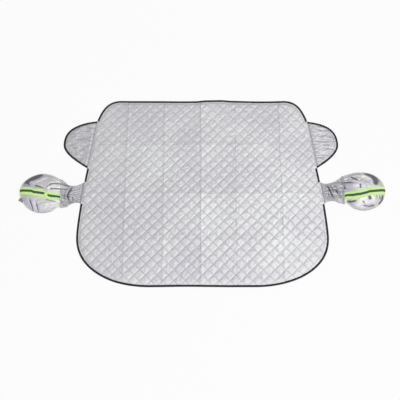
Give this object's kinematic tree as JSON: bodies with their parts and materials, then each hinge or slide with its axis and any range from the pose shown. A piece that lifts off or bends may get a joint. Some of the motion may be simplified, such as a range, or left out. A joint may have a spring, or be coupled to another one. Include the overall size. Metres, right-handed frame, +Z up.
{
  "type": "windshield frost cover",
  "caption": "Quilted silver windshield cover lying open: rounded panel with black bound edges, plain side flaps, gathered sleeves and domed door-mirror pouches with lime warning ribbon.",
  "frame": {"origin": "on the surface it lies on, under the middle of the quilted panel", "axes": "+X across the car towards the right-hand pouch as seen from the panel's bottom edge, +Y towards the panel's top edge, +Z up out of the outer side"},
  "size_m": [2.176, 1.156, 0.0576],
  "materials": {
    "quilted_film": "aluminised film over wadding, quilted in diamonds, satin metallic",
    "silver_cloth": "plain silver-coated cloth, satin",
    "taffeta": "shiny silver-coated taffeta with sharp folds",
    "binding": "matt black woven tape, stitched",
    "elastic": "grey braided elastic",
    "neon": "fluorescent lime ribbon",
    "reflective": "grey-green retroreflective strip"
  },
  "bodies": {
    "root": {"quilted_panel": "quilted_film", "left_flap": "silver_cloth", "right_flap": "silver_cloth", "top_binding": "binding", "bottom_binding": "binding", "left_side_binding": "binding", "right_side_binding": "binding", "left_flap_binding": "binding", "right_flap_binding": "binding", "left_sleeve": "silver_cloth", "left_pouch_front": "taffeta", "left_pouch_back": "taffeta", "left_mouth_elastic": "elastic", "left_neon_ribbon": "neon", "left_reflective_strip": "reflective", "right_sleeve": "silver_cloth", "right_pouch_front": "taffeta", "right_pouch_back": "taffeta", "right_mouth_elastic": "elastic", "right_neon_ribbon": "neon", "right_reflective_strip": "reflective"}
  },
  "joints": []
}
